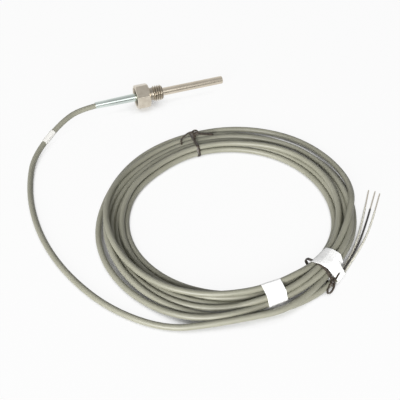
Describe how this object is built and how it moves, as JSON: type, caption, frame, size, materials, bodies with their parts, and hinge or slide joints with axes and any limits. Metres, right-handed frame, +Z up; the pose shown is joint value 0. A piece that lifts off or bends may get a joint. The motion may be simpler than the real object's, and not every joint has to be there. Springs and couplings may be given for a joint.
{
  "type": "screw-in cable temperature sensor",
  "caption": "Temperature probe with a hexagon screw fitting, a closed round stem and a long coiled cable with stripped and tinned wires.",
  "frame": {"origin": "on the surface that the probe lies on, under the middle of the rigid probe from the rear of its crimp sleeve to its tip", "axes": "+X along the probe towards its sensing tip, +Z up, the coil lies on the -Y side"},
  "size_m": [0.2312, 0.2272, 0.0196],
  "materials": {
    "fitting_steel": "turned stainless steel with fine tool lines",
    "stem_steel": "drawn stainless tube, satin",
    "sleeve_steel": "bright crimped steel, slightly bluish",
    "element_ceramic": "plain fired ceramic",
    "bright_wire": "thin bare wire",
    "filler_powder": "packed white powder",
    "core_white": "off-white wire insulation",
    "core_black": "black wire insulation",
    "splice_plastic": "shrunk tubing",
    "cable_jacket": "olive grey extruded jacket, satin",
    "marker_plastic": "thin white sleeve, blank",
    "tie_plastic": "dark plastic over a soft wire core",
    "label_paper": "folded white paper, blank",
    "tinned_wire": "tinned copper strands"
  },
  "bodies": {
    "root": {"process_fitting": "fitting_steel", "protection_tube": "stem_steel", "crimp_sleeve": "sleeve_steel", "sensing_element": "element_ceramic", "element_wire_one": "bright_wire", "element_wire_two": "bright_wire", "tip_filler": "filler_powder", "core_one": "core_white", "core_two": "core_black", "core_three": "core_white", "splice_tube_one": "splice_plastic", "splice_tube_two": "splice_plastic", "cable_lead": "cable_jacket", "cable_coil": "cable_jacket", "marker_sleeve": "marker_plastic", "twist_tie_top": "tie_plastic", "twist_tie_side": "tie_plastic", "label_band": "label_paper", "label_flag": "label_paper", "lead_wire_one": "core_white", "lead_wire_two": "core_black", "lead_wire_three": "core_white", "tinned_end_one": "tinned_wire", "tinned_end_two": "tinned_wire", "tinned_end_three": "tinned_wire"}
  },
  "joints": []
}
